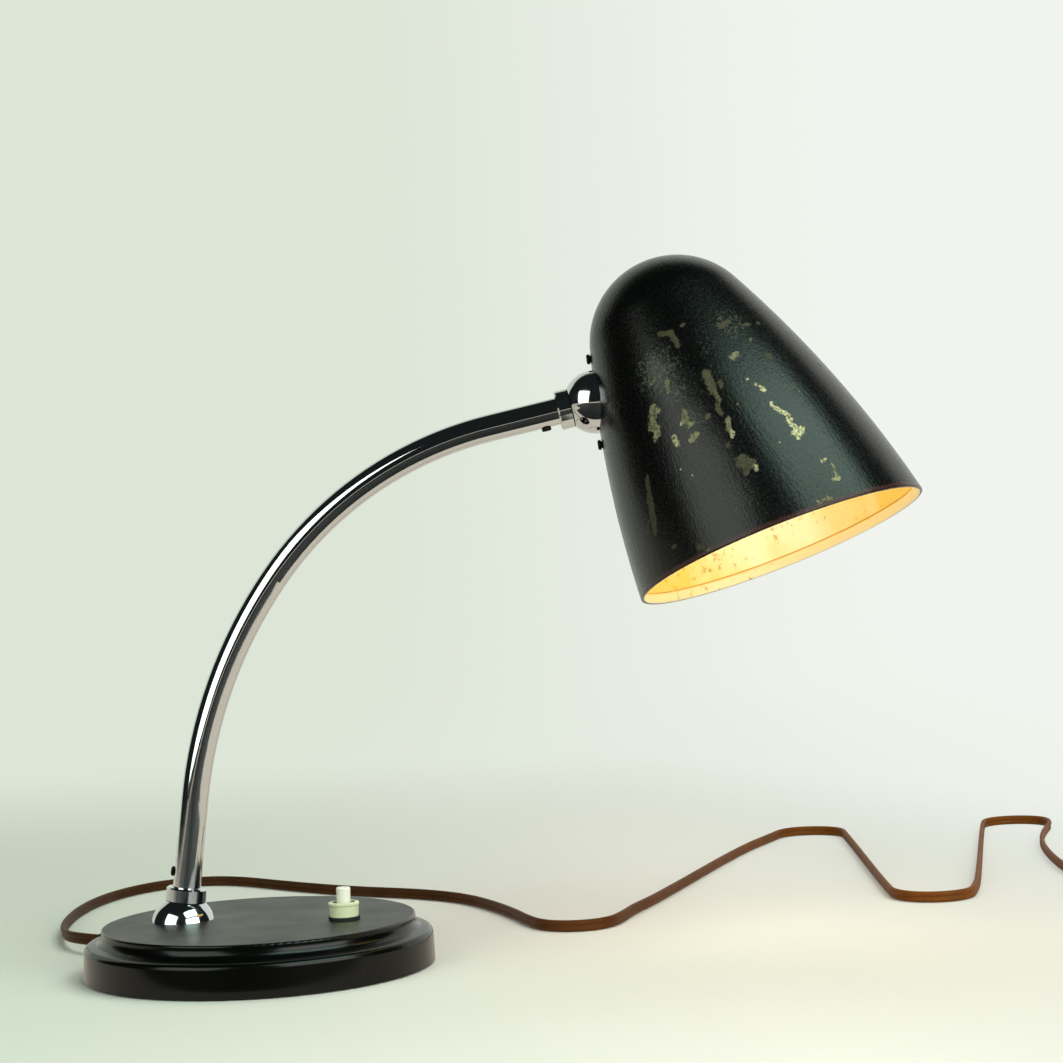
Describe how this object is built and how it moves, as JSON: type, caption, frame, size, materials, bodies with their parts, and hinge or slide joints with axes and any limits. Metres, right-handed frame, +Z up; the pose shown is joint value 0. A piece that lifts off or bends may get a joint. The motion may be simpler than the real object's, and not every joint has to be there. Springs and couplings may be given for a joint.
{
  "type": "desk lamp",
  "caption": "Desk lamp with a round weighted base, bent chrome arm, black bell shade on friction ball joints, push switch and a flat mains cord with plug.",
  "frame": {"origin": "middle of the base on the table", "axes": "+Z up, +X from the base towards the shade, +Y away from the viewer"},
  "size_m": [0.5361, 0.4627, 0.3003],
  "materials": {
    "black_lacquer": "satin gloss black lacquer on pressed steel",
    "shade_lacquer": "worn black lacquer outside, cream enamel inside",
    "chrome": "polished chrome plate",
    "cast_iron": "as cast",
    "zinc_steel": "zinc plated steel",
    "dark_steel": "browned steel screw",
    "brass": "turned brass",
    "felt": "dark green pressed felt",
    "black_rubber": "moulded rubber",
    "brown_cord": "flexible brown sheath",
    "lead_cover": "insulated twin lead",
    "brown_plastic": "moulded phenolic",
    "ivory_plastic": "moulded ivory",
    "white_plastic": "moulded white",
    "bulb_glass": "opal glass"
  },
  "bodies": {
    "base": {"ballast": "cast_iron", "base_felt": "felt", "base_leads": "lead_cover", "base_plate": "zinc_steel", "base_shell": "black_lacquer", "cord_gland": "black_rubber", "lower_dome": "chrome", "lower_seat": "brass", "lower_seat_nut": "brass", "lower_seat_washer": "zinc_steel", "mains_cord": "brown_cord", "plate_screws": "zinc_steel", "plug_body": "brown_plastic", "plug_pins": "brass", "switch_body": "brown_plastic", "switch_collar": "ivory_plastic", "switch_gasket": "black_rubber", "switch_spring": "zinc_steel"},
    "lower_slide": {"lower_friction_cap": "zinc_steel", "lower_spring_washer": "zinc_steel"},
    "arm": {"arm_tube": "chrome", "arm_lead": "lead_cover", "lower_collar": "chrome", "lower_stem": "zinc_steel", "lower_stem_nut": "zinc_steel", "lower_set_screw": "dark_steel", "upper_collar": "chrome", "upper_stem": "zinc_steel", "upper_stem_nut": "zinc_steel", "upper_set_screw": "dark_steel"},
    "upper_slide": {"upper_friction_cap": "zinc_steel", "upper_spring_washer": "zinc_steel"},
    "shade": {"upper_dome": "chrome", "upper_seat": "brass", "upper_seat_nut": "brass", "shade_shell": "shade_lacquer", "shade_bracket": "zinc_steel", "bracket_screws": "dark_steel", "shade_lead": "lead_cover", "lampholder": "brown_plastic", "holder_nut": "brass", "holder_contact": "brass", "holder_shell": "brass", "bulb_cap": "brass", "bulb_glass": "bulb_glass"},
    "button": {"switch_button": "white_plastic"}
  },
  "joints": [
    {"name": "arm_tilt", "type": "hinge", "parent": "base", "child": "lower_slide", "pos_m": [-0.03403, 0.00817, 0.018], "axis": [0, 1, 0], "range_deg": [-21.1, 5.9]},
    {"name": "arm_swivel", "type": "hinge", "parent": "lower_slide", "child": "arm", "pos_m": [-0.03403, 0.00817, 0.018], "axis": [0.1323, 0, 0.9912], "range_deg": [-90, 90]},
    {"name": "shade_swivel", "type": "hinge", "parent": "arm", "child": "upper_slide", "pos_m": [0.1547, 0.00817, 0.23763], "axis": [0.9804, 0, 0.1968], "range_deg": [-90, 90]},
    {"name": "shade_tilt", "type": "hinge", "parent": "upper_slide", "child": "shade", "pos_m": [0.1547, 0.00817, 0.23763], "axis": [-0.0347, -0.9843, 0.173], "range_deg": [-6.94, 20.06]},
    {"name": "switch_press", "type": "slide", "parent": "base", "child": "button", "axis": [0, 0, -1], "range_m": [0, 0.003], "stiffness_N_per_m": 400, "springref_m": -0.001}
  ]
}
